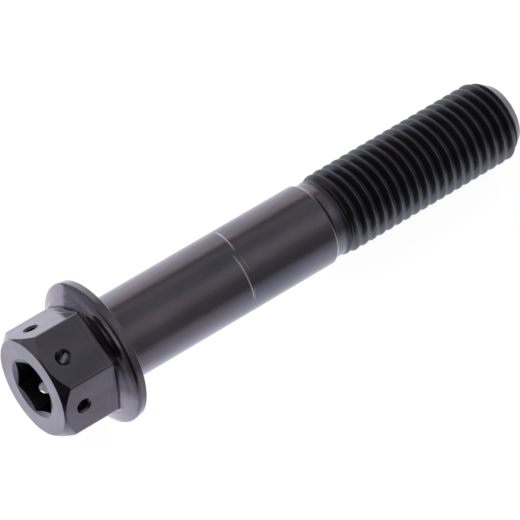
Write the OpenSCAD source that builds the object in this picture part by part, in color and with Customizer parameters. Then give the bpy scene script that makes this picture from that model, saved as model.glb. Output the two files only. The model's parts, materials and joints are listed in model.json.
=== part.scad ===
// Flange bolt for motorsport: hexagon head with a hexagon socket and cross-drilled
// wire holes, a dished flange, a plain shank and a fine rolled thread.
// The bolt lies at rest: its flange's ridge and the last thread crest touch one plane.
// The origin is the centre of the bearing face, and the axis runs towards +X.

/* [Head] */
// Width of the hexagon across its flats
head_af = 11.9; // [11:0.05:13]
// Diameter at the rounded corners of the hexagon
corner_d = 13.6; // [13.3:0.05:13.7]
// Height of the head, from the bearing face to its top
head_h = 9.1; // [8:0.1:12]
// Diameter of the flat ring on top, inside the corner chamfer
top_d = 11.55; // [11:0.05:11.8]
// Slope of the corner chamfer, from the top face
chamfer_angle = 48; // [20:1:50]
// Turn of the hexagon about the bolt's axis
head_roll = -10.6; // [-30:0.1:30]

/* [Flange] */
// Diameter of the flange at the ridge round its rim
flange_d = 17.1; // [15.5:0.05:19]
// Height of the rim's straight side, below the ridge
rim_h = 0.75; // [0.4:0.05:1.2]
// Draft of the rim's side, from the ridge towards the bearing face
rim_draft = 8; // [5:1:12]
// Radius of the round between the rim and the dish
rim_round = 0.45; // [0.2:0.05:0.6]
// Chamfer between the rim and the bearing face
rim_chamfer = 0.05; // [0.05:0.05:0.2]
// Slope of the dish, from the bearing face
dish_angle = 26; // [18:1:30]
// Radius of the fillet between the dish and the hexagon
foot_r = 0.8; // [0.4:0.1:1]

/* [Socket] */
// Width of the hexagon socket across its flats
socket_af = 6; // [5:0.1:7]
// Depth of the socket's flats
socket_depth = 5.4; // [4.5:0.1:6]
// Diameter of the socket's lead-in at the top face
lead_d = 7.4; // [7.2:0.1:8.6]
// Slope of the lead-in, from the top face
lead_angle = 21; // [10:1:45]
// Slope of the drill cone at the bottom of the socket
drill_angle = 25; // [10:1:31]

/* [Wire holes] */
// Diameter of the wire holes
wire_d = 1.4; // [1:0.1:1.7]
// Diameter of the holes' countersunk mouths on the flats
wire_mouth_d = 1.9; // [1.8:0.1:2.4]
// Depth of the wire holes' axis below the top face
wire_depth = 2.55; // [1.8:0.05:3.5]

/* [Shank] */
// Length under the head
length = 57; // [45:0.5:90]
// Diameter of the plain shank
shank_d = 9.85; // [9.4:0.05:10]
// Radius of the fillet under the head
neck_fillet = 0.4; // [0.2:0.1:0.8]
// Slope of the shoulder between the shank and the neck, from the axis
shoulder_angle = 32; // [20:1:60]
// Diameter of the neck, which is the blank that the thread is rolled on
neck_d = 9.15; // [9:0.05:9.3]

/* [Thread] */
// Outer diameter of the thread
thread_d = 9.85; // [9.6:0.05:10]
// Pitch of the thread
pitch = 1.25; // [1:0.25:1.5]
// Length of the thread, with its run-in
thread_l = 26.5; // [15:0.1:35]
// Length of the plain neck before the thread
neck_l = 0.6; // [0.2:0.1:1]
// Diameter of the end face, inside the end chamfer
end_d = 7.35; // [7:0.05:7.8]
// Slope of the end chamfer, from the axis
end_angle = 35; // [25:1:60]

/* [Hidden] */
$fn = 96;

// Heights run along the axis: 0 is the bearing face and the head is below it
head_top = -head_h;
flange_r = flange_d / 2;
head_r = head_af / 2;
corner_r = corner_d / 2;
wire_z = head_top + wire_depth;
thread_z = length - thread_l;
neck_z = thread_z - neck_l;
shoulder_z = neck_z - (shank_d - neck_d) / 2 / tan(shoulder_angle);
chamfer_h = (thread_d - end_d) / 2 / tan(end_angle);

// The turned flange has its seam a little to one side of the line that it rests on
seam_turn = 2.34;
// The round of the rim ends where the dish starts
dish_r = flange_r - rim_round + rim_round * sin(dish_angle);
dish_z = -rim_chamfer - rim_h - rim_round * cos(dish_angle);
// Height of the dish at a radius
function dish_at(r) = dish_z - (dish_r - r) * tan(dish_angle);
// The fillets at the foot of the flats and corners sink a little into the dish
foot_sink = 0.02;
foot_turn = 90 - dish_angle;
foot_z = dish_at(head_r) - foot_r * tan(foot_turn / 2) + foot_sink;
foot_steps = 5;

// The bolt lies on the ridge of its rim and on the end of its thread
ridge_z = -rim_chamfer - rim_h;
rest_angle = atan((flange_r - thread_d / 2) / (length - chamfer_h - ridge_z));

// Thread form: 60 degree flanks, a crest an eighth and a root a sixth of the pitch wide
crest_w = pitch / 8;
root_w = pitch / 6;
thread_h = (pitch - crest_w - root_w) / 2 / tan(30);
crest_r = thread_d / 2;
root_r = crest_r - thread_h;
run_in = 0.7;
// Angle about the axis at which the first flank stands at the start of the thread
thread_start = 141.6;
thread_steps = 22;
// Turn of the thread's rows, in steps, so that a facet and not an edge faces down
row_turn = 0.847;
form = [
    [0, root_r],
    [(pitch - crest_w - root_w) / 2, crest_r],
    [(pitch + crest_w - root_w) / 2, crest_r],
    [pitch - root_w, root_r]
];
turns = ceil(thread_l / pitch) + 3;
form_n = len(form);
row_n = form_n * turns;

// Points on an arc in the plane of a profile, as [radius, height]
function arc(centre, r, from, to, steps) = [
    for (i = [0:steps])
        let (a = from + (to - from) * i / steps)
        centre + r * [cos(a), sin(a)]
];

// Round flange, with its rim, the round above it and the dish up to the hexagon
module flange() {
    low_r = flange_r - rim_h * tan(rim_draft);
    rotate([0, 0, seam_turn])
        rotate_extrude()
            polygon(concat(
                [[0, 0], [low_r - rim_chamfer, 0], [low_r, -rim_chamfer]],
                arc([flange_r - rim_round, ridge_z], rim_round, 0, dish_angle - 90, 4),
                [[head_r - foot_r / 2, dish_at(head_r - foot_r / 2)]],
                [[0, dish_at(head_r - foot_r / 2)]]
            ));
}

// Hexagonal prism about the axis, from one height to another, given across its flats
module hexagon(af, from, to) {
    translate([0, 0, from])
        rotate([0, 0, head_roll])
            cylinder(r = af / 2 / cos(30), h = to - from, $fn = 6);
}

// Fillet that follows the flats where the hexagon meets the dish, in tapered steps that
// cross each other and run on into the dish
module hexagon_foot() {
    step = foot_turn / foot_steps;
    before = 0.2;
    low_z = dish_at(corner_r + foot_r);
    for (i = [0:foot_steps - 1]) {
        slope = tan((i + 0.5) * step);
        from_r = head_r + foot_r * (1 - cos(i * step)) - before * slope;
        from_z = foot_z + foot_r * sin(i * step) - before;
        translate([0, 0, from_z])
            rotate([0, 0, head_roll])
                cylinder(
                    r1 = from_r / cos(30),
                    r2 = (from_r + (low_z - from_z) * slope) / cos(30),
                    h = low_z - from_z,
                    $fn = 6
                );
    }
}

// Turned outline that rounds the corners of the hexagon, with a fillet at their foot and
// the chamfer at the top
module head_turning() {
    chamfer_drop = (corner_r - top_d / 2) * tan(chamfer_angle);
    centre_r = corner_r + foot_r;
    centre_z = dish_at(centre_r) - foot_r / cos(dish_angle) + foot_sink;
    end_r = centre_r - foot_r * sin(dish_angle);
    rotate_extrude()
        polygon(concat(
            [[0, head_top], [top_d / 2, head_top], [corner_r, head_top + chamfer_drop]],
            arc([centre_r, centre_z], foot_r, 180, 90 + dish_angle, 4),
            [[end_r, ridge_z], [0, ridge_z]]
        ));
}

// Hexagon socket with its lead-in at the top and a drill cone at the bottom
module socket() {
    over = 0.5;
    lead_r = lead_d / 2;
    lead_h = (lead_r - socket_af / 2) * tan(lead_angle);
    hexagon(socket_af, head_top - over, head_top + socket_depth);
    translate([0, 0, head_top])
        cylinder(r1 = lead_r, r2 = socket_af / 2, h = lead_h);
    translate([0, 0, head_top + socket_depth])
        cylinder(
            r1 = socket_af / 2,
            r2 = 0,
            h = socket_af / 2 * tan(drill_angle)
        );
}

// Six cross drillings in three lines, each with a countersunk mouth in the middle of a flat
module wire_holes() {
    sink = (wire_mouth_d - wire_d) / 2;
    over = 0.4;
    for (i = [0:5])
        translate([0, 0, wire_z])
            rotate([0, 0, head_roll + 30 + 60 * i])
                rotate([0, 90, 0]) {
                    cylinder(d = wire_d, h = head_r + over, $fn = 40);
                    translate([0, 0, head_r - sink])
                        cylinder(
                            r1 = wire_d / 2,
                            r2 = wire_d / 2 + sink + over,
                            h = sink + over,
                            $fn = 40
                        );
                }
}

module head() {
    difference() {
        union() {
            flange();
            intersection() {
                union() {
                    hexagon(head_af, head_top, dish_at(head_r) + foot_r);
                    hexagon_foot();
                }
                head_turning();
            }
        }
        socket();
        wire_holes();
    }
}

// Shank with its fillet under the head, the shoulder and the neck
module shank() {
    shank_r = shank_d / 2;
    neck_r = neck_d / 2;
    neck_end = thread_z + run_in;
    rotate_extrude()
        polygon(concat(
            [[0, ridge_z], [shank_r + neck_fillet, ridge_z]],
            arc([shank_r + neck_fillet, neck_fillet], neck_fillet, 270, 180, 3),
            [[shank_r, shoulder_z], [neck_r, neck_z], [neck_r, neck_end], [0, neck_end]]
        ));
}

// Row of points along the axis at one angle, which follows the thread's helix
function thread_row(j) = [
    for (k = [0:row_n - 1])
        let (
            part = (j + row_turn) / thread_steps,
            a = thread_start + 360 * part,
            point = form[k % form_n],
            z = thread_z - 2 * pitch + pitch * (floor(k / form_n) + part)
        )
        [point[1] * cos(a), point[1] * sin(a), z + point[0]]
];

// Helical ridge and core as one body, longer than the thread at both ends
module thread_helix() {
    points = [for (j = [0:thread_steps - 1]) each thread_row(j)];
    low = len(points);
    high = low + 1;
    low_z = thread_z - 2 * pitch;
    high_z = low_z + pitch * turns;
    ends = [[0, 0, low_z], [0, 0, high_z]];
    // A full turn comes out one form further along
    function at(j, k) = j < thread_steps ? j * row_n + k : k + form_n;
    sides = [
        for (j = [0:thread_steps - 1])
            for (k = [0:row_n - 2 - (j == thread_steps - 1 ? form_n : 0)])
                each [
                    [at(j, k), at(j, k + 1), at(j + 1, k)],
                    [at(j + 1, k), at(j, k + 1), at(j + 1, k + 1)]
                ]
    ];
    last = row_n - 1;
    low_fan = [for (j = [0:thread_steps - 1]) [low, at(j, 0), at(j + 1, 0)]];
    low_step = [for (k = [0:form_n - 1]) [low, k + 1, k]];
    end_row = (thread_steps - 1) * row_n;
    high_fan = [for (j = [0:thread_steps - 2]) [high, at(j + 1, last), at(j, last)]];
    high_step = [
        for (k = [last - form_n:last - 1]) [high, end_row + k, end_row + k + 1]
    ];
    high_close = [[high, last, end_row + last - form_n]];
    polyhedron(
        concat(points, ends),
        concat(sides, low_fan, low_step, high_fan, high_step, high_close)
    );
}

// Thread cut to its length, with a short run-in at the neck and the end chamfer
module thread() {
    over = 0.3;
    neck_r = neck_d / 2;
    run_in_slope = run_in / (crest_r - neck_r);
    end_slope = 1 / tan(end_angle);
    intersection() {
        rotate_extrude()
            polygon([
                [0, thread_z],
                [neck_r, thread_z],
                [crest_r + over, thread_z + run_in + over * run_in_slope],
                [crest_r + over, length - chamfer_h - over * end_slope],
                [end_d / 2, length],
                [0, length]
            ]);
        thread_helix();
    }
}

module flange_bolt() {
    color("#4b4653")
        rotate([0, 90 + rest_angle, 0])
            union() {
                head();
                shank();
                thread();
            }
}

flange_bolt();
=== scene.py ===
# %% [markdown]
# # A flange bolt for motorsport
#
# The object is one machined bolt. It has a hexagon head with a hexagon socket and six wire holes, a round
# dished flange, a plain shank and a fine rolled thread, all under one dark, glossy, violet-grey coating. It
# lies on a white ground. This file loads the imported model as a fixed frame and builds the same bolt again
# as a fine mesh, because a mirror-like surface shows every facet of a coarse one. Then it gives the bolt
# its finish and lights it.

# %% Load the frame
import json
import math

import bmesh
import bpy
import numpy as np
from mathutils import Matrix, Vector


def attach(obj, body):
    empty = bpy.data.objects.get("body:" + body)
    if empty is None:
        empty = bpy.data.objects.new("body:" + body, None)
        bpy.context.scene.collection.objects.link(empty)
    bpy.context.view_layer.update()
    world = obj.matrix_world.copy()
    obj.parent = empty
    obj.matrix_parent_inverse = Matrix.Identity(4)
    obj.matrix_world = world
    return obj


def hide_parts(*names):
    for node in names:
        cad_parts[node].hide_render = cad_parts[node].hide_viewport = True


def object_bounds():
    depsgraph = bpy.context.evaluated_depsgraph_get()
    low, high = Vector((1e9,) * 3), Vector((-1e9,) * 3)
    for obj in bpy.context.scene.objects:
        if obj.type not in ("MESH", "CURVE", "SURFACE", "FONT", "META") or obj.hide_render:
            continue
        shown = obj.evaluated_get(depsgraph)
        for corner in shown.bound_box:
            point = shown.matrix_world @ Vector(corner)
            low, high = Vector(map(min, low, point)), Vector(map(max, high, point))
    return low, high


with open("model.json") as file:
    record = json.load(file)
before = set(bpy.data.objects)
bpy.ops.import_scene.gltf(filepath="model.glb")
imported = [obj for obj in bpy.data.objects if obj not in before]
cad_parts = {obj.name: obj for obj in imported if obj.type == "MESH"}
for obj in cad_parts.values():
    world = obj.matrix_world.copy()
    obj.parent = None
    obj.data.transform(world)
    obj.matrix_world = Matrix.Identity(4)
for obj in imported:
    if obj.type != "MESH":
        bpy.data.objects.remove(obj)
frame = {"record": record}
cad_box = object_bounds()
MM = 0.001
print("CAD box in mm:", [[round(c / MM, 2) for c in corner] for corner in cad_box])

# %% [markdown]
# ## The bolt's own axes
#
# The bolt lies at a slant, on the edge of its flange and the end of its thread. It is far easier to build
# upright, as on a lathe, so the mesh is made about a Z axis with the bearing face at 0, the head below it
# and the tip above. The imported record's mounts say how that axis lies in the scene and how far the hexagon
# is turned about it, so the mesh needs no fitting.

# %% Axes from the record
mounts = {mount["name"]: mount for mount in frame["record"]["mounts"]}
along = Vector(mounts["shank"]["axis"]).normalized()
sideways = Vector((0, 1, 0))
down = sideways.cross(along)
BOLT_TO_SCENE = Matrix((down, sideways, along)).transposed()
hole_axis = Vector(mounts["wire_hole_a"]["axis"])
FLAT_ANGLE = math.atan2(hole_axis.dot(sideways), hole_axis.dot(down))
print("slant in degrees:", round(math.degrees(math.asin(-along.z)), 3))
print("middle of a flat at degrees:", round(math.degrees(FLAT_ANGLE), 2))

# %% [markdown]
# ## Sizes
#
# The driving sizes are those of the CAD source, in millimetres. The edges get small rounds that CAD leaves
# out, because a real edge is never sharp, and its thin bright line is most of what tells the eye that it is
# metal.

# %% Sizes in millimetres
HEAD_R = 5.95
CORNER_R = 6.8
HEAD_TOP = -9.1
TOP_RING_R = 5.775
CHAMFER_SLOPE = math.tan(math.radians(48))
# A hair under the ridge of the solid, whose circle has fewer sides, so that this finer one stays in its box
FLANGE_R = 8.544
RIM_CHAMFER = 0.05
RIM_H = 0.75
RIM_LOW_R = FLANGE_R - RIM_H * math.tan(math.radians(8))
RIM_ROUND = 0.45
DISH_ANGLE = math.radians(26)
FOOT_R = 0.8
SOCKET_R = 3.0
SOCKET_FLOOR = HEAD_TOP + 5.4
SOCKET_TIP = SOCKET_FLOOR + SOCKET_R * math.tan(math.radians(25))
LEAD_R = 3.7
LEAD_SLOPE = math.tan(math.radians(21))
WIRE_R = 0.7
WIRE_MOUTH_R = 0.95
WIRE_Z = HEAD_TOP + 2.55
SHANK_R = 4.925
NECK_FILLET = 0.4
SHOULDER_Z = 29.34
NECK_Z = 29.9
NECK_R = 4.575
THREAD_Z = 30.5
LENGTH = 57.0
THREAD_R = 4.925
PITCH = 1.25
CREST_W = PITCH / 8
ROOT_W = PITCH / 6
FLANK_SLOPE = math.tan(math.radians(30))
THREAD_DEPTH = (PITCH - CREST_W - ROOT_W) / 2 / FLANK_SLOPE
# Turn about the axis at which the first crest starts
CREST_AT = math.radians(141.6)
END_R = 3.675
END_SLOPE = math.tan(math.radians(35))
# Rounds of the edges, in mm
EDGE_ROUND = 0.06
CORNER_ROUND = 0.04
LEAD_WALL_ROUND = 0.03
LEAD_ROUND = 0.04
RIM_EDGE_ROUND = 0.02
SHOULDER_ROUND = 0.25
NECK_ROUND = 0.1
TIP_ROUND = 0.04
# Distance in mm of a guard row from the edge that it keeps in place
GUARD = 0.02
print("thread depth:", round(THREAD_DEPTH, 3))

# %% [markdown]
# ## Columns round the axis
#
# The whole bolt is one grid: columns stand round the axis, and rows run from the bottom of the socket, over
# the top of the head and down the outside to the tip. A subdivision surface would need many guard loops to
# keep the flats flat. A grid whose columns crowd together near the six corners keeps them flat and the
# corners crisp.

# %% Column angles
# Degrees from the middle of a flat, closer together near the corner at 30
half_sector = [0, 3, 6, 9, 12, 15, 18, 21, 24, 27, 28.1, 28.6, 29, 29.4, 30]
sector = [-a for a in half_sector[:0:-1]] + half_sector[:-1]
from_flat = np.radians(np.array(sector * 6))
column_angle = FLAT_ANGLE + from_flat + np.repeat(np.radians(60) * np.arange(6), len(sector))
COLUMNS = len(column_angle)
print("columns:", COLUMNS)

# %% Helpers for profiles
def ring(radius, height):
    """One row of the grid, as an array of [radius, height] for every column."""
    return np.stack(np.broadcast_arrays(radius, height, from_flat)[:2], axis=1).astype(float)


def smooth_min(a, b, width):
    """The lower of two values, with the corner between them rounded over a width."""
    blend = np.clip(0.5 + 0.5 * (b - a) / width, 0, 1)
    return b + (a - b) * blend - width * blend * (1 - blend)


def unit(v):
    """Arrows of length 1 along the rows of an array."""
    return v / np.linalg.norm(v, axis=1, keepdims=True)


def rounded(before, corner, after, radius, steps=3):
    """Rows that round a corner of the profile, between guard rows that keep the faces beside it flat."""
    to_before = unit(before - corner)
    to_after = unit(after - corner)
    half = np.arccos(np.clip((to_before * to_after).sum(1, keepdims=True), -1, 1)) / 2
    reach = radius / np.tan(half)
    centre = corner + unit(to_before + to_after) * radius / np.sin(half)
    start = corner + to_before * reach - centre
    end = corner + to_after * reach - centre
    turn = math.pi - 2 * half
    shares = np.linspace(0, 1, steps + 1)
    arc = [centre + (np.sin((1 - s) * turn) * start + np.sin(s * turn) * end) / np.sin(turn) for s in shares]
    return [corner + to_before * (reach + GUARD), *arc, corner + to_after * (reach + GUARD)]


def profile(points):
    """Rows for a list of (row, radius) points. A point with radius 0 stays as it is."""
    rows = []
    for i, (point, radius) in enumerate(points):
        if radius:
            rows += rounded(points[i - 1][0], point, points[i + 1][0], radius)
        else:
            rows.append(point)
    return rows


print("rows of a rounded edge:", len(rounded(ring(1, 0), ring(1, 1), ring(2, 1), EDGE_ROUND)))

# %% [markdown]
# ## Head
#
# The real head is forged, then turned and chamfered on a lathe. The turning cuts the six corners off to one
# radius and slopes their tops, so each corner is a narrow strip of a cylinder. The side is the nearer of a
# flat and that cylinder, with the corner between them slightly rounded. The socket has a shallow turned
# lead-in, whose edge dips in the middle of each flat of the hexagon because it is a cone that meets a flat
# wall.

# %% Socket and top of the head
side = smooth_min(HEAD_R / np.cos(from_flat), CORNER_R, CORNER_ROUND)
wall = SOCKET_R / np.cos(from_flat)
lead_z = HEAD_TOP + (LEAD_R - wall) * LEAD_SLOPE
chamfer_z = HEAD_TOP + (side - TOP_RING_R) * CHAMFER_SLOPE
socket_slope = (SOCKET_TIP - SOCKET_FLOOR) / SOCKET_R
socket_rows = [ring(r, SOCKET_TIP - r * socket_slope) for r in (0.4, 1.2, 2.0, 2.6, 2.97)]
socket_rows += [ring(SOCKET_R, SOCKET_FLOOR), ring(np.maximum(wall - GUARD, SOCKET_R), SOCKET_FLOOR)]
SIDE_END = -2.97
head_rows = profile([
    (ring(wall, SOCKET_FLOOR), 0),
    (ring(wall, SOCKET_FLOOR - GUARD), 0),
    (ring(wall, WIRE_Z), 0),
    (ring(wall, lead_z), LEAD_WALL_ROUND),
    (ring((wall + LEAD_R) / 2, (lead_z + HEAD_TOP) / 2), 0),
    (ring(LEAD_R, HEAD_TOP), LEAD_ROUND),
    (ring(4.6, HEAD_TOP), 0),
    (ring(TOP_RING_R, HEAD_TOP), EDGE_ROUND),
    (ring(side, chamfer_z), EDGE_ROUND),
    (ring(side, SIDE_END), 0),
])
print("rows of the head:", len(socket_rows) + len(head_rows))

# %% [markdown]
# ## Foot of the head and flange
#
# A fillet of one radius runs between each flat and the dish, as if a ball had rolled along. The dish is a
# cone, so the ball sinks towards the corners and the fillet's upper edge curves. Working it out from the
# ball's centre gives that curve, which a fillet of fixed height would miss.

# %% A ball that rolls in the corner
dish_r = FLANGE_R - RIM_ROUND + RIM_ROUND * math.sin(DISH_ANGLE)
dish_z = -RIM_CHAMFER - RIM_H - RIM_ROUND * math.cos(DISH_ANGLE)
DISH_SLOPE = math.tan(DISH_ANGLE)
LAST_TURN = math.radians(90) - DISH_ANGLE


def ball_height(radius):
    """Height of the centre of a ball that rolls on the dish, at a radius from the axis."""
    return dish_z - (dish_r - radius) * DISH_SLOPE - FOOT_R / math.cos(DISH_ANGLE)


def fillet_offset(height, centre):
    """How far a fillet stands out at a height, and on along the dish's slope past its end."""
    rise = np.clip(height - centre, 0, None)
    on_arc = FOOT_R - np.sqrt(np.clip(FOOT_R**2 - rise**2, 0, None))
    last = FOOT_R * math.sin(LAST_TURN)
    past = FOOT_R * (1 - math.cos(LAST_TURN)) + (rise - last) / DISH_SLOPE
    return np.where(rise < last, on_arc, past)


def foot_radius(height):
    """Outside of the foot at a height: flats with their fillet, cut by the turned corners, or the dish."""
    flat = np.full(COLUMNS, HEAD_R)
    for _ in range(6):
        centre_r = np.hypot(HEAD_R + FOOT_R, flat * np.tan(from_flat))
        flat = HEAD_R + fillet_offset(height, ball_height(centre_r))
    turned = CORNER_R + fillet_offset(height, ball_height(CORNER_R + FOOT_R))
    dish = dish_r - (dish_z - height) / DISH_SLOPE
    return np.maximum(smooth_min(flat / np.cos(from_flat), turned, CORNER_ROUND), dish)


print("height of the ball's centre at a flat:", round(ball_height(HEAD_R + FOOT_R), 3))

# %% Foot and flange rows
foot_heights = [-2.9, -2.86, *np.arange(-2.82, -1.6, 0.05), -1.55, -1.44, -1.33, -1.25]
foot_rows = [ring(foot_radius(z), z) for z in foot_heights]
rim_z = -RIM_CHAMFER - RIM_H
rim_turns = [math.radians(a) for a in (64, 51, 38, 25, 12, 3)]
flange_rows = [
    ring(FLANGE_R - RIM_ROUND + RIM_ROUND * math.cos(a), rim_z - RIM_ROUND * math.sin(a)) for a in rim_turns
]
flange_rows += profile([
    (ring(FLANGE_R, rim_z), 0),
    (ring(FLANGE_R - GUARD * (FLANGE_R - RIM_LOW_R), rim_z + GUARD * RIM_H), 0),
    (ring(RIM_LOW_R, -RIM_CHAMFER), RIM_EDGE_ROUND),
    (ring(RIM_LOW_R - RIM_CHAMFER, 0), RIM_EDGE_ROUND),
    (ring(SHANK_R + 1.5, 0), 0),
    (ring(SHANK_R, 0), NECK_FILLET),
    (ring(SHANK_R, 10), 0),
])
print("rows of the foot and flange:", len(foot_rows) + len(flange_rows))

# %% [markdown]
# ## Shank and thread
#
# The thread is rolled: dies press the blank, so crests are rounded and stand as high as the shank. Its rows
# climb with the helix. Row i of the last column meets row i + ROWS_A_TURN of the first, which makes one
# true spiral, and rows crowd at the crest and root where the surface bends. The thread grows out of the
# neck over about one and a half turns, and a chamfer at 35 degrees to the axis ends it at the tip.

# %% Shank rows
shank_rows = [ring(SHANK_R, 16), ring(SHANK_R, 22)]
shank_rows += profile([
    (ring(SHANK_R, 29), 0),
    (ring(SHANK_R, SHOULDER_Z), SHOULDER_ROUND),
    (ring(NECK_R, NECK_Z), NECK_ROUND),
    (ring(NECK_R, THREAD_Z), 0),
])
print("rows of the shank:", len(shank_rows))

# %% Thread rows
CREST_ROUND = 0.05
ROOT_ROUND = 0.12
CHAMFER_ROUND = 0.05
GROWTH = 2.1
THREAD_TO = LENGTH - 0.1
# Rows on each side of a crest, as shares of the pitch
in_pitch = [0.02, 0.055, 0.085, 0.12, 0.22, 0.34, 0.4, 0.45]
steps = np.array([-s for s in in_pitch[::-1]] + in_pitch) * PITCH
ROWS_A_TURN = len(steps)
TURNS = math.ceil((THREAD_TO - THREAD_Z) / PITCH) + 3


def thread_radius(angle, height):
    """Radius of the rolled thread, grown out of the neck and cut by the chamfer at the tip."""
    crest_z = THREAD_Z + (PITCH - ROOT_W) / 2 + PITCH * (angle - CREST_AT) / (2 * math.pi)
    away = np.abs((height - crest_z + PITCH / 2) % PITCH - PITCH / 2)
    flank = THREAD_R - (away - CREST_W / 2) / FLANK_SLOPE
    radius = smooth_min(flank, THREAD_R, CREST_ROUND)
    radius = -smooth_min(-radius, -(THREAD_R - THREAD_DEPTH), ROOT_ROUND)
    grown = np.clip((height - THREAD_Z) / GROWTH, 0, 1)
    radius = NECK_R + (radius - NECK_R) * grown * grown * (3 - 2 * grown)
    return smooth_min(radius, END_R + (LENGTH - height) * END_SLOPE, CHAMFER_ROUND)


first_angle = column_angle[0]
climb = PITCH * (column_angle - first_angle) / (2 * math.pi)
first_crest = THREAD_Z + (PITCH - ROOT_W) / 2 + PITCH * (first_angle - CREST_AT) / (2 * math.pi)
first_crest -= PITCH * math.ceil((first_crest - THREAD_Z) / PITCH + 2)
thread_z = np.array([first_crest + climb + PITCH * t + step for t in range(TURNS + 3) for step in steps])
low = thread_z <= THREAD_Z
high = thread_z >= THREAD_TO
thread_z = np.clip(thread_z, THREAD_Z, THREAD_TO)
thread_r = thread_radius(column_angle[None, :], thread_z)
print("rows of the thread:", len(thread_z), "of", ROWS_A_TURN, "a turn")

# %% End rows
end_rows = profile([
    (ring(END_R + (LENGTH - THREAD_TO) * END_SLOPE, THREAD_TO), 0),
    (ring(END_R, LENGTH), TIP_ROUND),
    (ring(2.4, LENGTH), 0),
    (ring(0.8, LENGTH), 0),
])
print("rows of the end:", len(end_rows))

# %% [markdown]
# ## One closed mesh
#
# The rows are joined into one skin. Thread rows that would lie past either end fall together on the ring
# there, and the faces that this flattens are left out, so the skin stays closed and can be cut by a
# boolean.

# %% Join the rows
def skin():
    """Vertices in the bolt's own millimetres, and faces, of the whole bolt."""
    first = socket_rows + head_rows + foot_rows + flange_rows + shank_rows
    rings = np.array(first + end_rows)
    cos = np.cos(column_angle)
    sin = np.sin(column_angle)
    ring_points = np.stack([rings[..., 0] * cos, rings[..., 0] * sin, rings[..., 1]], axis=2).reshape(-1, 3)
    thread_points = np.stack([thread_r * cos, thread_r * sin, thread_z], axis=2).reshape(-1, 3)
    points = np.concatenate([ring_points, thread_points, [[0, 0, SOCKET_TIP], [0, 0, LENGTH]]])
    ring_index = np.arange(len(ring_points)).reshape(len(rings), COLUMNS)
    thread_index = len(ring_points) + np.arange(len(thread_points)).reshape(len(thread_z), COLUMNS)
    before = ring_index[len(first) - 1]
    after = ring_index[len(first)]
    thread_index = np.where(low, before[None, :], thread_index)
    thread_index = np.where(high, after[None, :], thread_index)
    faces = []
    for part in (ring_index[:len(first)], ring_index[len(first):]):
        following = np.roll(part, -1, axis=1)
        faces.append(np.stack([part[:-1], part[1:], following[1:], following[:-1]], axis=2).reshape(-1, 4))
    body, beside = thread_index[:, :-1], thread_index[:, 1:]
    faces.append(np.stack([body[:-1], body[1:], beside[1:], beside[:-1]], axis=2).reshape(-1, 4))
    last = thread_index[:, -1][:-ROWS_A_TURN]
    start = thread_index[:, 0][ROWS_A_TURN:]
    faces.append(np.stack([last[:-1], last[1:], start[1:], start[:-1]], axis=1))
    quads = np.concatenate(faces)
    tidy = []
    for quad in quads.tolist():
        corners = [c for i, c in enumerate(quad) if c != quad[i - 1]]
        if len(set(corners)) > 2:
            tidy.append(corners)
    bottom = len(points) - 2
    tip = len(points) - 1
    inner = ring_index[0]
    outer = ring_index[-1]
    tidy += [[bottom, int(inner[i]), int(inner[(i + 1) % COLUMNS])] for i in range(COLUMNS)]
    tidy += [[tip, int(outer[(i + 1) % COLUMNS]), int(outer[i])] for i in range(COLUMNS)]
    return points, tidy


points, faces = skin()
print("points:", len(points), "faces:", len(faces))

# %% Weld the skin
WELD_M = 1e-6
FLAT_EDGE_M = 1e-7
in_scene = points * MM @ np.array(BOLT_TO_SCENE).T
mesh = bpy.data.meshes.new("coated_bolt")
mesh.from_pydata(in_scene.tolist(), [], faces)
bolt = bpy.data.objects.new("coated_bolt", mesh)
bpy.context.collection.objects.link(bolt)
welded = bmesh.new()
welded.from_mesh(mesh)
bmesh.ops.remove_doubles(welded, verts=welded.verts, dist=WELD_M)
bmesh.ops.dissolve_degenerate(welded, edges=welded.edges, dist=FLAT_EDGE_M)
open_edges = sum(1 for e in welded.edges if len(e.link_faces) != 2)
bmesh.ops.recalc_face_normals(welded, faces=welded.faces)
welded.to_mesh(mesh)
welded.free()
print("vertices:", len(mesh.vertices), "faces:", len(mesh.polygons), "open edges:", open_edges)

# %% [markdown]
# ## Wire holes
#
# Three drillings cross under the top face and come out in the middle of the six flats. Safety wire goes
# through them. They are cut with a boolean, like the drill cuts them, and each mouth has a small
# countersink that takes the burr off.

# %% A drill for the wire holes
MOUTH_DEPTH = WIRE_MOUTH_R - WIRE_R
CLEAR = 0.6
DRILL_SIDES = 48


def drill(name, angle):
    """A drill-shaped cutter through the head, wider at both mouths."""
    across = HEAD_R + CLEAR
    inner = HEAD_R - MOUTH_DEPTH
    wide = WIRE_MOUTH_R + CLEAR
    stations = [(-across, wide), (-inner, WIRE_R), (inner, WIRE_R), (across, wide)]
    sides = DRILL_SIDES
    round_angles = np.arange(sides) * 2 * math.pi / sides
    verts = []
    for x, r in stations:
        for a in round_angles:
            verts.append(Vector((x, r * math.cos(a), r * math.sin(a))))
    tube = []
    for s in range(len(stations) - 1):
        for i in range(sides):
            j = (i + 1) % sides
            tube.append([s * sides + i, s * sides + j, (s + 1) * sides + j, (s + 1) * sides + i])
    tube.append(list(range(sides))[::-1])
    tube.append([(len(stations) - 1) * sides + i for i in range(sides)])
    turned = Matrix.Rotation(angle, 3, "Z")
    placed = [BOLT_TO_SCENE @ (turned @ v + Vector((0, 0, WIRE_Z))) * MM for v in verts]
    data = bpy.data.meshes.new(name)
    data.from_pydata(placed, [], tube)
    shaped = bmesh.new()
    shaped.from_mesh(data)
    bmesh.ops.recalc_face_normals(shaped, faces=shaped.faces)
    shaped.to_mesh(data)
    shaped.free()
    cutter = bpy.data.objects.new(name, data)
    bpy.context.collection.objects.link(cutter)
    return cutter


print("depth of a mouth:", round(MOUTH_DEPTH, 3))

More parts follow.
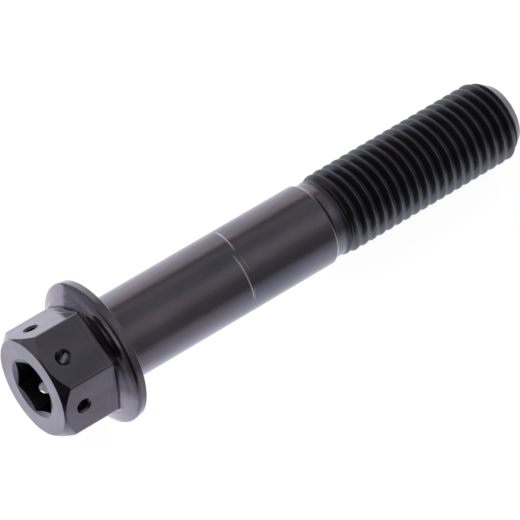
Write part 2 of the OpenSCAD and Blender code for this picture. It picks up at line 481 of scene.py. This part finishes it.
# %% Cut the wire holes
SHARP_FROM = math.radians(35)
cutters = [drill(f"drill_{i}", FLAT_ANGLE + math.radians(60 * i)) for i in range(3)]
for cutter in cutters:
    cut = bolt.modifiers.new(cutter.name, "BOOLEAN")
    cut.operation = "DIFFERENCE"
    cut.solver = "MANIFOLD"
    cut.object = cutter
evaluated = bolt.evaluated_get(bpy.context.evaluated_depsgraph_get())
drilled = bpy.data.meshes.new_from_object(evaluated)
bolt.modifiers.clear()
bolt.data = drilled
for cutter in cutters:
    bpy.data.objects.remove(cutter)
drilled.shade_smooth()
drilled.set_sharp_from_angle(angle=SHARP_FROM)
print("faces with the holes cut:", len(drilled.polygons))
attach(bolt, "root")
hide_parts("flange_bolt")

# %% [markdown]
# ## Finish
#
# The real surface is titanium, turned and rolled, then given a thin hard coating by vapour in a vacuum.
# Such a coating is a dark metal-like mirror with a violet cast: it takes the tool marks underneath and
# blurs what it reflects only a little. So the shader is metal, with the coating's colour as what it
# reflects head on. The head is a little lighter than the shank, and the rolled thread is dull and nearly
# black. One ramp along the bolt's axis gives each part its own colour, which needs no seams in the mesh.

# %% Colours and nodes
# Inputs and output of a Mix node, by number because it has several of the same name
COLOUR_A, COLOUR_B, COLOUR_OUT = 6, 7, 2
NUMBER_A, NUMBER_B, NUMBER_OUT = 2, 3, 0


def linear(hex_colour):
    """An sRGB hex colour as linear RGBA."""
    parts = [int(hex_colour[i:i + 2], 16) / 255 for i in (1, 3, 5)]
    return (*[c / 12.92 if c <= 0.04045 else ((c + 0.055) / 1.055) ** 2.4 for c in parts], 1)


def grey(level, tint=(1, 1, 1)):
    """A plain number or a level of light as linear RGBA, with a slight tint where one is given."""
    return (*[level * c for c in tint], 1)


def node(tree, kind, inputs=None, stops=None, **settings):
    """Adds a node with its settings, its inputs as values or sockets to link from, and any colour stops."""
    made = tree.nodes.new(kind)
    for key, value in settings.items():
        setattr(made, key, value)
    for key, value in (inputs or {}).items():
        if isinstance(value, bpy.types.NodeSocket):
            tree.links.new(value, made.inputs[key])
        else:
            made.inputs[key].default_value = value
    if stops:
        elements = made.color_ramp.elements
        while len(elements) < len(stops):
            elements.new(0.5)
        for element, (at, colour) in zip(elements, stops):
            element.position = at
            element.color = colour
    return made


print("mid grey in linear light:", round(linear("#808080")[0], 3))

# %% Place on the bolt
titanium = bpy.data.materials.new("vapour_coated_titanium")
titanium.use_nodes = True
tree = titanium.node_tree
tree.nodes.clear()
place = node(tree, "ShaderNodeTexCoord")
to_bolt = BOLT_TO_SCENE.transposed().to_euler("XYZ")
upright = node(tree, "ShaderNodeMapping", {
    "Vector": place.outputs["Object"], "Rotation": tuple(to_bolt),
}).outputs["Vector"]
bolt_height = node(tree, "ShaderNodeSeparateXYZ", {"Vector": upright}).outputs["Z"]
flat_way = node(tree, "ShaderNodeVectorMath", {
    0: upright, 1: (1, 1, 0),
}, operation="MULTIPLY").outputs["Vector"]
bolt_radius = node(tree, "ShaderNodeVectorMath", {0: flat_way}, operation="LENGTH").outputs["Value"]
way_out = node(tree, "ShaderNodeVectorMath", {0: flat_way}, operation="NORMALIZE").outputs["Vector"]
FINISH_FROM, FINISH_TO = -10, 60


def on_ramp(height):
    """Where a height of the bolt in mm lies on the finish ramps, from 0 to 1."""
    return (height - FINISH_FROM) / (FINISH_TO - FINISH_FROM)


along_bolt = node(tree, "ShaderNodeMapRange", {
    "Value": bolt_height, "From Min": FINISH_FROM * MM, "From Max": FINISH_TO * MM,
}).outputs["Result"]
print("bearing face on the finish ramps:", round(on_ramp(0), 3))

# %% Colour along the bolt
HEAD_COAT = linear("#938e9d")
SHANK_COAT = linear("#8b8795")
THREAD_COAT = linear("#57565f")
TIP_COAT = linear("#777480")
ROLLED_FROM, ROLLED_FULLY = 30.5, 31.3
coat = node(tree, "ShaderNodeValToRGB", {"Fac": along_bolt}, [
    (0, HEAD_COAT), (on_ramp(5), HEAD_COAT), (on_ramp(15), SHANK_COAT), (on_ramp(ROLLED_FROM), SHANK_COAT),
    (on_ramp(ROLLED_FULLY), THREAD_COAT), (on_ramp(55.7), THREAD_COAT), (on_ramp(55.9), TIP_COAT),
    (1, TIP_COAT),
]).outputs["Color"]
print("linear green of head, shank, thread:", [round(c[1], 3) for c in (HEAD_COAT, SHANK_COAT, THREAD_COAT)])

# %% Polish and metal along the bolt
HEAD_ROUGH, SHANK_ROUGH, THREAD_ROUGH = 0.1, 0.12, 0.27
polish = node(tree, "ShaderNodeValToRGB", {"Fac": along_bolt}, [
    (0, grey(HEAD_ROUGH)), (on_ramp(-0.1), grey(HEAD_ROUGH)), (on_ramp(0.1), grey(SHANK_ROUGH)),
    (on_ramp(30.3), grey(SHANK_ROUGH)), (on_ramp(31), grey(THREAD_ROUGH)), (1, grey(THREAD_ROUGH)),
]).outputs["Color"]
# The coating on the rolled thread is partly dull, like soot on metal
THREAD_METAL = 0.8
metal = node(tree, "ShaderNodeValToRGB", {"Fac": along_bolt}, [
    (0, grey(1)), (on_ramp(ROLLED_FROM), grey(1)), (on_ramp(ROLLED_FULLY), grey(THREAD_METAL)),
    (1, grey(THREAD_METAL)),
]).outputs["Color"]
print("roughness of head, shank and thread:", HEAD_ROUGH, SHANK_ROUGH, THREAD_ROUGH)

# %% [markdown]
# ## Crests, bores and the foot
#
# The crests of the rolled thread are a little paler. The socket and the wire holes are painted darker, as the
# shade that falls in these recesses, and are duller. Two fine lines at the foot of the hexagon, where two
# cutters met, are painted dark, as the shade that would fall in steps there. Each of these is a place on the
# bolt, a height or a distance from its axis, and so a mask made of those two numbers keeps it exact from
# every side, where a painted picture would need an unwrapped mesh.

# %% Crests of the thread
CREST_COAT = linear("#71727d")
# Heights along the bolt and distances from its axis, in mm, between which the paler coat comes in
PALE_FROM, PALE_FULLY = 31, 31.6
CREST_FROM, CREST_FULLY = 4.7, 4.88
on_thread = node(tree, "ShaderNodeMapRange", {
    "Value": bolt_height, "From Min": PALE_FROM * MM, "From Max": PALE_FULLY * MM,
}).outputs["Result"]
near_crest = node(tree, "ShaderNodeMapRange", {
    "Value": bolt_radius, "From Min": CREST_FROM * MM, "From Max": CREST_FULLY * MM,
}, interpolation_type="SMOOTHSTEP").outputs["Result"]
on_crest = node(tree, "ShaderNodeMath", {0: near_crest, 1: on_thread}, operation="MULTIPLY").outputs["Value"]
crested = node(tree, "ShaderNodeMix", {
    "Factor": on_crest, COLOUR_A: coat, COLOUR_B: CREST_COAT,
}, data_type="RGBA").outputs[COLOUR_OUT]
print("crests are paler from a radius of", CREST_FROM, "mm, of", THREAD_R)

# %% Painted shade in the socket and wire holes
# Painted shade: the socket and the wire holes get a darker colour for the shade in these recesses, and a
# duller finish
BORE_SHADE = linear("#74717c")
BORE_ROUGH = 0.3
LEAD_REACH = 3.8
LEAD_DEPTH = 1.4
WIRE_REACH = 5.93
HEAD_ENDS = -1
below_top = node(tree, "ShaderNodeMapRange", {
    "Value": bolt_height, "From Min": (HEAD_TOP + 0.01) * MM, "From Max": (HEAD_TOP + 0.05) * MM,
}).outputs["Result"]
in_head = node(tree, "ShaderNodeMath", {
    0: bolt_height, 1: HEAD_ENDS * MM,
}, operation="LESS_THAN").outputs["Value"]
# Near the top only the socket counts, and further in also the wire holes, up to just inside the flats
past_lead = node(tree, "ShaderNodeMath", {
    0: bolt_height, 1: (HEAD_TOP + LEAD_DEPTH) * MM,
}, operation="GREATER_THAN").outputs["Value"]
bore_reach = node(tree, "ShaderNodeMath", {
    0: past_lead, 1: (WIRE_REACH - LEAD_REACH) * MM, 2: LEAD_REACH * MM,
}, operation="MULTIPLY_ADD").outputs["Value"]
inside = node(tree, "ShaderNodeMath", {0: bolt_radius, 1: bore_reach}, operation="LESS_THAN").outputs["Value"]
bored = node(tree, "ShaderNodeMath", {0: below_top, 1: in_head}, operation="MULTIPLY").outputs["Value"]
in_bore = node(tree, "ShaderNodeMath", {0: bored, 1: inside}, operation="MULTIPLY").outputs["Value"]
bore_shaded = node(tree, "ShaderNodeMix", {
    "Factor": in_bore, COLOUR_A: crested, COLOUR_B: BORE_SHADE,
}, data_type="RGBA").outputs[COLOUR_OUT]
polished = node(tree, "ShaderNodeMix", {
    "Factor": in_bore, NUMBER_A: polish, NUMBER_B: BORE_ROUGH,
}).outputs[NUMBER_OUT]
print("bores are masked up to a radius of", WIRE_REACH, "mm, and the flats start at", HEAD_R)

# %% Painted shade of the steps at the foot of the hexagon
# Each step: its height and half its width in mm, and how dark its painted shade is
STEPS = [(-3.0, 0.05, 0.16), (-2.2, 0.085, 0.78)]
# Painted shade: a thin dark line stands in for the shade in each step, which the mesh does not have
STEP_SHADE = linear("#2b292f")
# A thin line fades from 0.4 to 1.6 of half its width, so that it has no hard edge
LINE_CORE, LINE_EDGE = 0.4, 1.6
painted_step_shade = None
for step_z, half_width, depth in STEPS:
    off_step = node(tree, "ShaderNodeMath", {
        0: bolt_height, 1: step_z * MM,
    }, operation="SUBTRACT").outputs["Value"]
    gap = node(tree, "ShaderNodeMath", {0: off_step}, operation="ABSOLUTE").outputs["Value"]
    near_step = node(tree, "ShaderNodeMapRange", {
        "Value": gap, "From Min": half_width * MM * LINE_EDGE, "From Max": half_width * MM * LINE_CORE,
        "To Max": depth,
    }, interpolation_type="SMOOTHSTEP").outputs["Result"]
    if painted_step_shade is None:
        painted_step_shade = near_step
    else:
        painted_step_shade = node(tree, "ShaderNodeMath", {
            0: painted_step_shade, 1: near_step,
        }, operation="MAXIMUM").outputs["Value"]
out_of_bore = node(tree, "ShaderNodeMath", {0: 1.0, 1: in_bore}, operation="SUBTRACT").outputs["Value"]
step_shade_mask = node(tree, "ShaderNodeMath", {0: painted_step_shade, 1: out_of_bore}, operation="MULTIPLY").outputs["Value"]
coated = node(tree, "ShaderNodeMix", {
    "Factor": step_shade_mask, COLOUR_A: bore_shaded, COLOUR_B: STEP_SHADE,
}, data_type="RGBA").outputs[COLOUR_OUT]
print("steps at the foot:", len(STEPS))

# %% [markdown]
# ## Wear
#
# A washer or a collar has turned on the shank and left two fine bright rings, which each run only part of
# the way round, with fainter ones beside them. A ring is where the height along the bolt is close to one
# value, and its part of the way round is where the direction out of the axis is near that of its middle. A
# slight waver keeps the lines from looking drawn with a ruler.

# %% Worn rings
# Each ring: middle of its arc and half its length in degrees about the axis, height and width in mm, how
# clear it is, and by how many mm it leans to the thread where it is a right angle past its middle
WORN = [
    (167, 26, 17.96, 0.085, 1.0, -0.45), (228, 38, 17.40, 0.09, 1.0, 0.28), (211, 14, 17.97, 0.05, 0.22, 0.6),
    (209, 13, 17.86, 0.04, 0.16, 0.6), (253, 12, 17.82, 0.05, 0.3, -0.3),
]
ARC_CORE = 0.55
WAVER_MM = 0.2
# The noise is a half on average, so the waver lifts every ring by this much
WAVER_MEAN = WAVER_MM / 2


def per_metre(size):
    """Scale of a noise whose patches are about this many mm across."""
    return 1 / (size * MM)


waver = node(tree, "ShaderNodeTexNoise", {"Vector": upright, "Scale": per_metre(10 / 3), "Detail": 2})
wavered = node(tree, "ShaderNodeMath", {
    0: waver.outputs["Fac"], 1: WAVER_MM * MM, 2: bolt_height,
}, operation="MULTIPLY_ADD").outputs["Value"]
worn = None
for middle, half, height, width, clear, lean in WORN:
    turn = math.radians(middle)
    ways = [(math.cos(turn), math.sin(turn), 0), (-math.sin(turn), math.cos(turn), 0)]
    to_middle, past_middle = [
        node(tree, "ShaderNodeVectorMath", {0: way_out, 1: way}, operation="DOT_PRODUCT").outputs["Value"]
        for way in ways
    ]
    in_arc = node(tree, "ShaderNodeMapRange", {
        "Value": to_middle, "From Min": math.cos(math.radians(half)),
        "From Max": math.cos(math.radians(half * ARC_CORE)), "To Max": clear,
    }, interpolation_type="SMOOTHSTEP").outputs["Result"]
    leant = node(tree, "ShaderNodeMath", {
        0: past_middle, 1: -lean * MM, 2: wavered,
    }, operation="MULTIPLY_ADD").outputs["Value"]
    off = node(tree, "ShaderNodeMath", {
        0: leant, 1: (height + WAVER_MEAN) * MM,
    }, operation="SUBTRACT").outputs["Value"]
    away = node(tree, "ShaderNodeMath", {0: off}, operation="ABSOLUTE").outputs["Value"]
    on_ring = node(tree, "ShaderNodeMapRange", {
        "Value": away, "From Min": width * MM * LINE_EDGE, "From Max": width * MM * LINE_CORE,
    }, interpolation_type="SMOOTHSTEP").outputs["Result"]
    mark = node(tree, "ShaderNodeMath", {0: in_arc, 1: on_ring}, operation="MULTIPLY").outputs["Value"]
    if worn is None:
        worn = mark
    else:
        worn = node(tree, "ShaderNodeMath", {0: worn, 1: mark}, operation="MAXIMUM").outputs["Value"]
print("worn rings:", len(WORN))

# %% [markdown]
# ## Unevenness and turning marks
#
# No coating is even. Where the polish underneath was uneven it looks smoky, and where the film is a little
# thinner or thicker it turns towards brown or blue-grey. The turning tool left rings on the dish that are
# too fine to see one by one, so they are drawn as coarse as they need to show. Two noises and one sine wave
# do this. They are fixed to the bolt, so they stay in place from every side.

# %% Smoky streaks and faint patches
# Clouds about 3 mm across, drawn out along the bolt as it was polished, and patches of tint about 4 mm across
STREAK_MM = 3.125
PATCH_MM = 4.348
ALONG_STRETCH = 0.4
streaks = node(tree, "ShaderNodeMapping", {
    "Vector": upright, "Scale": (1, 1, ALONG_STRETCH),
}).outputs["Vector"]
smoke = node(tree, "ShaderNodeTexNoise", {
    "Vector": streaks, "Scale": per_metre(STREAK_MM), "Detail": 4, "Roughness": 0.6,
}).outputs["Fac"]
tint = node(tree, "ShaderNodeMapRange", {
    "Value": smoke, "From Min": 0.3, "From Max": 0.7, "To Min": 0.87, "To Max": 1.15,
}).outputs["Result"]
patches = node(tree, "ShaderNodeTexNoise", {"Vector": streaks, "Scale": per_metre(PATCH_MM), "Detail": 2})
patch_tint = node(tree, "ShaderNodeValToRGB", {"Fac": patches.outputs["Fac"]}, [
    (0.36, (1.0, 0.955, 0.94, 1)), (0.5, (0.97, 0.97, 0.97, 1)), (0.64, (0.93, 0.975, 1.0, 1)),
]).outputs["Color"]
uneven = coated
for stain in (tint, patch_tint):
    uneven = node(tree, "ShaderNodeMix", {
        "Factor": 1.0, COLOUR_A: uneven, COLOUR_B: stain,
    }, data_type="RGBA", blend_type="MULTIPLY").outputs[COLOUR_OUT]
print("streaks of", STREAK_MM, "mm and patches of", PATCH_MM, "mm")

# %% Turning marks on the dish
# In mm: real marks are about 0.1 apart, and these are coarser so that they show
MARK_STEP = 0.8
MARK_HEIGHT = 0.005
MARK_WANDER = 0.6
SMOKE_HEIGHT = 0.03
MARKS_FROM, MARKS_FULLY = -2.4, -2.0
waved = node(tree, "ShaderNodeMath", {
    0: smoke, 1: MARK_WANDER * MM, 2: bolt_radius,
}, operation="MULTIPLY_ADD").outputs["Value"]
turns = node(tree, "ShaderNodeMath", {
    0: waved, 1: 2 * math.pi / (MARK_STEP * MM),
}, operation="MULTIPLY").outputs["Value"]
wave = node(tree, "ShaderNodeMath", {0: turns}, operation="SINE").outputs["Value"]
on_dish = node(tree, "ShaderNodeMapRange", {
    "Value": bolt_height, "From Min": MARKS_FROM * MM, "From Max": MARKS_FULLY * MM,
    "To Max": MARK_HEIGHT * MM,
}).outputs["Result"]
ring_height = node(tree, "ShaderNodeMath", {0: wave, 1: on_dish}, operation="MULTIPLY").outputs["Value"]
above_rim = node(tree, "ShaderNodeMath", {
    0: bolt_height, 1: -RIM_H * MM,
}, operation="LESS_THAN").outputs["Value"]
dish_height = node(tree, "ShaderNodeMath", {
    0: ring_height, 1: above_rim,
}, operation="MULTIPLY").outputs["Value"]
relief = node(tree, "ShaderNodeMath", {
    0: smoke, 1: SMOKE_HEIGHT * MM, 2: dish_height,
}, operation="MULTIPLY_ADD").outputs["Value"]
bump = node(tree, "ShaderNodeBump", {"Height": relief, "Strength": 1.0, "Distance": 1.0}).outputs["Normal"]
print("turning marks", MARK_STEP, "mm apart and", MARK_HEIGHT, "mm high")

# %% The shader
BARE = linear("#f0effa")
WORN_ROUGH = 0.5
colour = node(tree, "ShaderNodeMix", {
    "Factor": worn, COLOUR_A: uneven, COLOUR_B: BARE,
}, data_type="RGBA").outputs[COLOUR_OUT]
roughness = node(tree, "ShaderNodeMix", {
    "Factor": worn, NUMBER_A: polished, NUMBER_B: WORN_ROUGH,
}).outputs[NUMBER_OUT]
surface = node(tree, "ShaderNodeBsdfPrincipled", {
    "Base Color": colour, "Metallic": metal, "Roughness": roughness, "Normal": bump,
})
node(tree, "ShaderNodeOutputMaterial", {"Surface": surface.outputs["BSDF"]})
bolt.data.materials.clear()
bolt.data.materials.append(titanium)
print("nodes in the coating:", len(tree.nodes))

# %% [markdown]
# ## Studio
#
# A polished bolt is a picture of the room round it, so the room matters more than the lamps. Behind it a
# white sweep rises from the ground and fades upwards, overhead is a grey ceiling with a soft light, and the
# side of the camera is dim. The ground is white paper, which is pressed from pulp, so it is matt, scatters
# light evenly and keeps a faint shadow. In a product picture the paper is shown as pure white, but the
# metal sees a glow painted on the paper by place, bright behind the bolt and falling off to grey towards the
# viewer, as painted shadow and falloff of light. So the camera, and anything seen through glass, gets the
# pure white, and the metal gets the painted falling light. With pure white all round, a dark coating turns
# pale and flat.

# %% Ground
FLOOR_Z = cad_box[0].z
FLOOR_HALF_M = 1.5
ground_mesh = bpy.data.meshes.new("ground")
corners = [(-1, -1), (1, -1), (1, 1), (-1, 1)]
ground_mesh.from_pydata([
    (x * FLOOR_HALF_M, y * FLOOR_HALF_M, FLOOR_Z) for x, y in corners
], [], [[0, 1, 2, 3]])
ground = bpy.data.objects.new("ground", ground_mesh)
bpy.context.collection.objects.link(ground)
print("ground at", round(FLOOR_Z / MM, 3), "mm")

# %% Place on the ground
WARM = (1.055, 1.0, 0.96)
COOL = (0.98, 1.005, 1.04)
paper = bpy.data.materials.new("white_paper")
paper.use_nodes = True
tree = paper.node_tree
tree.nodes.clear()
spot = node(tree, "ShaderNodeNewGeometry")
xyz = node(tree, "ShaderNodeSeparateXYZ", {"Vector": spot.outputs["Position"]})
AXES = {"across": xyz.outputs["X"], "away": xyz.outputs["Y"]}


def spread(axis, stops, tint=(1, 1, 1)):
    """A ramp along one axis of the ground, from stops of place in mm and level."""
    low, high = stops[0][0], stops[-1][0]
    reach = node(tree, "ShaderNodeMapRange", {
        "Value": AXES[axis], "From Min": low * MM, "From Max": high * MM,
    }).outputs["Result"]
    return node(tree, "ShaderNodeValToRGB", {"Fac": reach}, [
        ((at - low) / (high - low), grey(level, tint)) for at, level in stops
    ]).outputs["Color"]


def between(axis, low, high):
    """Rises smoothly from 0 to 1 along one axis of the ground, between two places in mm."""
    return node(tree, "ShaderNodeMapRange", {
        "Value": AXES[axis], "From Min": low * MM, "From Max": high * MM,
    }, interpolation_type="SMOOTHSTEP").outputs["Result"]


print("tint of the paper's light:", COOL)

# %% Painted light of the ground
# Painted glow of the ground as the metal sees it, for the bolt's shadow and the falloff of light: level from
# the viewer's side to the far side, beside the shank and beside the head
by_shank = spread("away", [
    (-200, 0.13), (-72, 0.1875), (-42, 0.27), (-29, 0.352), (-22, 0.42), (-17.4, 0.497), (-14, 0.587),
    (-11.6, 0.673), (-9.3, 0.78), (-7.6, 0.874), (-5, 0.95), (0, 0.98), (20, 1.0), (45, 0.98), (80, 0.91),
    (100, 0.89),
], COOL)
by_head = spread("away", [
    (-200, 0.1), (-50, 0.19), (-35, 0.25), (-27, 0.31), (-23, 0.39), (-20, 0.41), (-17, 0.45), (-15, 0.47),
    (-12.5, 0.56), (-11, 0.66), (-9, 0.8), (-7, 0.92), (-5, 1.0), (0, 1.0), (22, 1.07), (45, 1.05),
    (100, 0.6),
], COOL)
beside = node(tree, "ShaderNodeMix", {
    "Factor": between("across", 3, 14), COLOUR_A: by_head, COLOUR_B: by_shank,
}, data_type="RGBA").outputs[COLOUR_OUT]
# The painted glow falls off to the left, past the head, as painted shade; the ground itself goes on
far_left = spread("across", [
    (-100, 0.36), (-60, 0.36), (-35, 0.38), (-26, 0.33), (-22, 0.45), (-19, 0.8), (-16, 0.93), (-12, 1),
    (0, 1),
])
near_left = spread("across", [
    (-100, 0.1), (-40, 0.12), (-30, 0.14), (-25, 0.22), (-20, 0.36), (-16, 0.46), (-14, 0.56), (-12, 0.68),
    (-10, 0.88), (-8, 1), (0, 1),
])
left = node(tree, "ShaderNodeMix", {
    "Factor": between("away", -8, 3), COLOUR_A: near_left, COLOUR_B: far_left,
}, data_type="RGBA").outputs[COLOUR_OUT]
lit = node(tree, "ShaderNodeMix", {
    "Factor": 1.0, COLOUR_A: beside, COLOUR_B: left,
}, data_type="RGBA", blend_type="MULTIPLY").outputs[COLOUR_OUT]
# The painted glow is dimmer in a patch behind the head, as painted shade
DIM_LEVEL = 0.4
dim = between("away", 43, 52)
for side_span in (between("across", 26, 14), between("across", -22, -12)):
    dim = node(tree, "ShaderNodeMath", {0: dim, 1: side_span}, operation="MULTIPLY").outputs["Value"]
painted_ground_glow = node(tree, "ShaderNodeMix", {
    "Factor": dim, COLOUR_A: lit, COLOUR_B: grey(DIM_LEVEL),
}, data_type="RGBA").outputs[COLOUR_OUT]
print("nodes in the ground's light:", len(tree.nodes))

# %% White for the camera
# The camera sees a glow just under white, and the matt paper adds the rest where the bolt doesn't shade it
GLOW = 0.92
PAPER = 0.55  # share of the light that the paper gives back


def seen_as_white():
    """1 for rays from the camera, also through glass, and 0 for the rest."""
    rays = node(tree, "ShaderNodeLightPath")
    return node(tree, "ShaderNodeMath", {
        0: rays.outputs["Is Camera Ray"], 1: rays.outputs["Is Transmission Ray"],
    }, operation="MAXIMUM").outputs["Value"]


shows_white = seen_as_white()
glow = node(tree, "ShaderNodeMix", {
    "Factor": shows_white, COLOUR_A: painted_ground_glow, COLOUR_B: grey(GLOW),
}, data_type="RGBA").outputs[COLOUR_OUT]
light = node(tree, "ShaderNodeEmission", {"Color": glow, "Strength": 1.0}).outputs["Emission"]
matt = node(tree, "ShaderNodeBsdfDiffuse", {"Color": grey(PAPER)}).outputs["BSDF"]
both = node(tree, "ShaderNodeAddShader", {0: light, 1: matt}).outputs["Shader"]
shown = node(tree, "ShaderNodeMixShader", {0: shows_white, 1: light, 2: both}).outputs["Shader"]
node(tree, "ShaderNodeOutputMaterial", {"Surface": shown})
ground_mesh.materials.append(paper)
print("glow and paper:", GLOW, PAPER)

# %% Light of the room
# Each list gives the light from level with the bolt, at 0, to straight overhead, at 1
SWEEP = [(0.0, 0.89), (0.177, 0.76), (0.30, 0.66), (0.413, 0.58), (0.507, 0.47), (0.592, 0.31), (0.635, 0.19),
         (0.665, 0.165), (0.723, 0.204), (0.771, 0.229), (0.842, 0.208), (0.876, 0.175), (1.0, 0.175)]
FRONT = [(0.0, 0.125), (0.058, 0.125), (0.233, 0.133), (0.393, 0.146), (0.534, 0.204), (0.654, 0.27),
         (0.751, 0.2875), (0.79, 0.279), (0.847, 0.233), (0.878, 0.183), (0.94, 0.19), (1.0, 0.2)]
BEYOND_HEAD = [(0.0, 0.42), (0.06, 0.36), (0.13, 0.28), (0.2, 0.235), (0.5, 0.237), (0.6, 0.2), (0.7, 0.19),
               (0.87, 0.178), (0.94, 0.19), (1.0, 0.2)]
CEILING_FROM = 0.85
CEILING = (0.99, 1.0, 1.03)
world = bpy.data.worlds.new("studio")
bpy.context.scene.world = world
world.use_nodes = True
tree = world.node_tree
tree.nodes.clear()
place = node(tree, "ShaderNodeTexCoord")
way = node(tree, "ShaderNodeSeparateXYZ", {"Vector": place.outputs["Generated"]})
sweep, front, beyond = [
    node(tree, "ShaderNodeValToRGB", {"Fac": way.outputs["Z"]}, [
        (rise, grey(level, CEILING if rise > CEILING_FROM else WARM)) for rise, level in stops
    ]).outputs["Color"]
    for stops in (SWEEP, FRONT, BEYOND_HEAD)
]
print("stops of sweep, front and beyond the head:", len(SWEEP), len(FRONT), len(BEYOND_HEAD))

# %% Sides of the room
# The sides blend where a direction points so far to the right or away from the camera, from -1 to 1
TO_RIGHT = (-0.05, 0.35)
TO_BACK = (-0.15, 0.25)
rightness = node(tree, "ShaderNodeMapRange", {
    "Value": way.outputs["X"], "From Min": TO_RIGHT[0], "From Max": TO_RIGHT[1],
}, interpolation_type="SMOOTHSTEP").outputs["Result"]
behind = node(tree, "ShaderNodeMix", {
    "Factor": rightness, COLOUR_A: beyond, COLOUR_B: sweep,
}, data_type="RGBA").outputs[COLOUR_OUT]
backness = node(tree, "ShaderNodeMapRange", {
    "Value": way.outputs["Y"], "From Min": TO_BACK[0], "From Max": TO_BACK[1],
}, interpolation_type="SMOOTHSTEP").outputs["Result"]
near_and_far = node(tree, "ShaderNodeMix", {
    "Factor": backness, COLOUR_A: front, COLOUR_B: behind,
}, data_type="RGBA").outputs[COLOUR_OUT]
# The right side, which the shoulder and the tip's chamfer show
PAST_TIP = (0.62, 0.9)
RIGHT_LEVEL = 0.24
past_tip = node(tree, "ShaderNodeMapRange", {
    "Value": way.outputs["X"], "From Min": PAST_TIP[0], "From Max": PAST_TIP[1],
}, interpolation_type="SMOOTHSTEP").outputs["Result"]
room = node(tree, "ShaderNodeMix", {
    "Factor": past_tip, COLOUR_A: near_and_far, COLOUR_B: grey(RIGHT_LEVEL),
}, data_type="RGBA").outputs[COLOUR_OUT]
# Share of the light by how far a direction points to the dark left side, as the cosine between the two
DARK_SIDE = (-0.866, -0.5, 0)
SHADE = [(0, 1), (0.4, 1), (0.5, 0.8), (0.545, 0.66), (0.59, 0.4), (0.68, 0.34), (0.75, 0.25), (0.9, 0.16),
         (1, 0.2)]
turned_left = node(tree, "ShaderNodeVectorMath", {
    0: place.outputs["Generated"], 1: DARK_SIDE,
}, operation="DOT_PRODUCT").outputs["Value"]
shade = node(tree, "ShaderNodeValToRGB", {"Fac": turned_left}, [
    (nearness, grey(level)) for nearness, level in SHADE
]).outputs["Color"]
shaded = node(tree, "ShaderNodeMix", {
    "Factor": 1.0, COLOUR_A: room, COLOUR_B: shade,
}, data_type="RGBA", blend_type="MULTIPLY").outputs[COLOUR_OUT]
seen = node(tree, "ShaderNodeMix", {
    "Factor": seen_as_white(), COLOUR_A: shaded, COLOUR_B: grey(1),
}, data_type="RGBA").outputs[COLOUR_OUT]
sky = node(tree, "ShaderNodeBackground", {"Color": seen, "Strength": 1.0})
node(tree, "ShaderNodeOutputWorld", {"Surface": sky.outputs["Background"]})
print("nodes in the room's light:", len(tree.nodes))

# %% [markdown]
# ## Camera
#
# Product pictures are taken with a long lens from some way off, so that near and far parts keep nearly the
# same scale. The camera's place is given as how far it stands back from the bearing face and how far to the
# right and up in its own view, because these three numbers shift and scale the picture without turning it.

# %% Camera
AZIMUTH = math.radians(-38.401)
ELEVATION = math.radians(53.249)
ROLL = math.radians(-0.061)
FOCAL_PX = 4800
IMAGE_PX = 520
SENSOR_MM = 36
RIGHT_MM = 17.417
UP_MM = 9.654
BACK_MM = 521.06
CLIP_FROM_M = 0.05
CLIP_TO_M = 10
flat_back = Vector((math.sin(AZIMUTH), -math.cos(AZIMUTH), 0))
back = flat_back * math.cos(ELEVATION) + Vector((0, 0, math.sin(ELEVATION)))
level_right = Vector((math.cos(AZIMUTH), math.sin(AZIMUTH), 0))
right = Matrix.Rotation(ROLL, 3, back) @ level_right
up = back.cross(right)
camera_data = bpy.data.cameras.new("camera")
camera = bpy.data.objects.new("camera", camera_data)
bpy.context.collection.objects.link(camera)
camera_data.sensor_width = SENSOR_MM
camera_data.lens = FOCAL_PX / IMAGE_PX * SENSOR_MM
camera_data.clip_start = CLIP_FROM_M
camera_data.clip_end = CLIP_TO_M
eye = (right * RIGHT_MM + up * UP_MM + back * BACK_MM) * MM
camera.matrix_world = Matrix.Translation(eye) @ Matrix((right, up, back)).transposed().to_4x4()
bpy.context.scene.camera = camera
bpy.context.scene.view_settings.view_transform = "Standard"
print("camera at mm:", [round(c / MM, 1) for c in eye])
